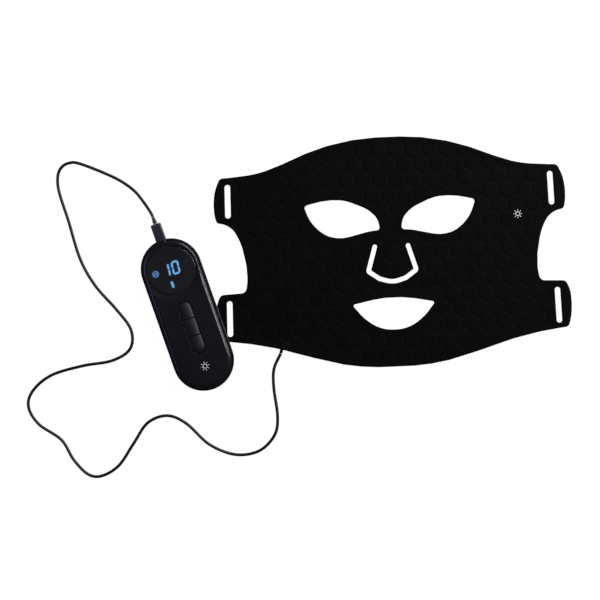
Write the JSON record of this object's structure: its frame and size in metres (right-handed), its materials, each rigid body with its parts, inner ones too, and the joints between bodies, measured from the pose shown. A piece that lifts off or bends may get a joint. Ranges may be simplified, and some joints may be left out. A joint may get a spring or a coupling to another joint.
{
  "type": "led face mask",
  "caption": "Flat flexible light-therapy face mask with eye, nose and mouth openings and strap tabs, on a thin cord to a pill-shaped battery controller with display and keys.",
  "frame": {"origin": "on the bridge of the nose, midway between the inner corners of the eye openings, on the face side", "axes": "+X across the mask towards the right strap tabs as its outer face is seen, +Y towards the forehead, +Z out of the outer face"},
  "size_m": [0.5214, 0.3117, 0.0207],
  "materials": {
    "black_silicone": "matte with a faint honeycomb relief",
    "clear_silicone": "clear, slightly hazy",
    "flex_circuit": "white solder mask",
    "led_lens": "yellowish light chip",
    "cord_rubber": "satin",
    "plug_plastic": "satin",
    "plug_metal": "satin",
    "shell_plastic": "satin soft-touch",
    "seal_rubber": "matte",
    "display_gloss": "high gloss",
    "display_light": "lit",
    "foam": "foam",
    "board": "solder mask",
    "chip": "matte",
    "battery_wrap": "foil",
    "connector_plastic": "matte",
    "switch_metal": "satin",
    "screw_steel": "dark zinc",
    "key_rubber": "matte",
    "printed_mark": "pad print"
  },
  "bodies": {
    "mask": {"mask_front_skin": "black_silicone", "mask_back_skin": "clear_silicone", "mask_led_circuit": "flex_circuit", "cable_gland": "cord_rubber", "cord": "cord_rubber", "plug_body": "plug_plastic", "plug_shell": "plug_metal", "plug_boot": "cord_rubber"},
    "left_wing": {"left_wing_front_skin": "black_silicone", "left_wing_back_skin": "clear_silicone", "left_wing_led_circuit": "flex_circuit"},
    "right_wing": {"right_wing_front_skin": "black_silicone", "right_wing_back_skin": "clear_silicone", "right_wing_led_circuit": "flex_circuit"},
    "nose_flap": {"nose_flap_front_skin": "black_silicone", "nose_flap_back_skin": "clear_silicone", "nose_flap_led_circuit": "flex_circuit"},
    "controller": {"controller_top_shell": "shell_plastic", "controller_bottom_shell": "shell_plastic", "controller_seal_ring": "seal_rubber", "display_lens": "display_gloss", "case_screw_1": "screw_steel", "case_screw_2": "screw_steel", "case_screw_3": "screw_steel", "case_screw_4": "screw_steel", "main_board": "board", "control_chip": "chip", "battery": "battery_wrap", "battery_pad": "foam", "battery_connector": "connector_plastic", "plug_socket": "plug_metal", "power_switch": "switch_metal", "mode_switch": "switch_metal", "level_switch": "switch_metal", "display_module": "display_gloss", "lens_adhesive_ring": "foam"},
    "power_key": {"power_button": "key_rubber"},
    "mode_key": {"mode_button": "key_rubber"},
    "level_key": {"level_button": "key_rubber"}
  },
  "joints": [
    {"name": "left_wing_bend", "type": "hinge", "parent": "mask", "child": "left_wing", "pos_m": [-0.122, 0, 0.0018], "axis": [0, 1, 0], "range_deg": [-60, 0], "stiffness_Nm_per_rad": 0.06},
    {"name": "right_wing_bend", "type": "hinge", "parent": "mask", "child": "right_wing", "pos_m": [0.122, 0, 0.0018], "axis": [0, -1, 0], "range_deg": [-60, 60], "stiffness_Nm_per_rad": 0.06},
    {"name": "nose_flap_lift", "type": "hinge", "parent": "mask", "child": "nose_flap", "pos_m": [0, -0.017, 0.0036], "axis": [-1, 0, 0], "range_deg": [0, 45], "stiffness_Nm_per_rad": 0.02},
    {"name": "controller_unplug", "type": "slide", "parent": "mask", "child": "controller", "axis": [0.2907, -0.9568, 0], "range_m": [0, 0.007]},
    {"name": "power_press", "type": "slide", "parent": "controller", "child": "power_key", "axis": [0, 0, -1], "range_m": [0, 0.0006], "stiffness_N_per_m": 2500, "springref_m": -0.0004},
    {"name": "mode_press", "type": "slide", "parent": "controller", "child": "mode_key", "axis": [0, 0, -1], "range_m": [0, 0.0006], "stiffness_N_per_m": 2500, "springref_m": -0.0004},
    {"name": "level_press", "type": "slide", "parent": "controller", "child": "level_key", "axis": [0, 0, -1], "range_m": [0, 0.0006], "stiffness_N_per_m": 2500, "springref_m": -0.0004}
  ]
}
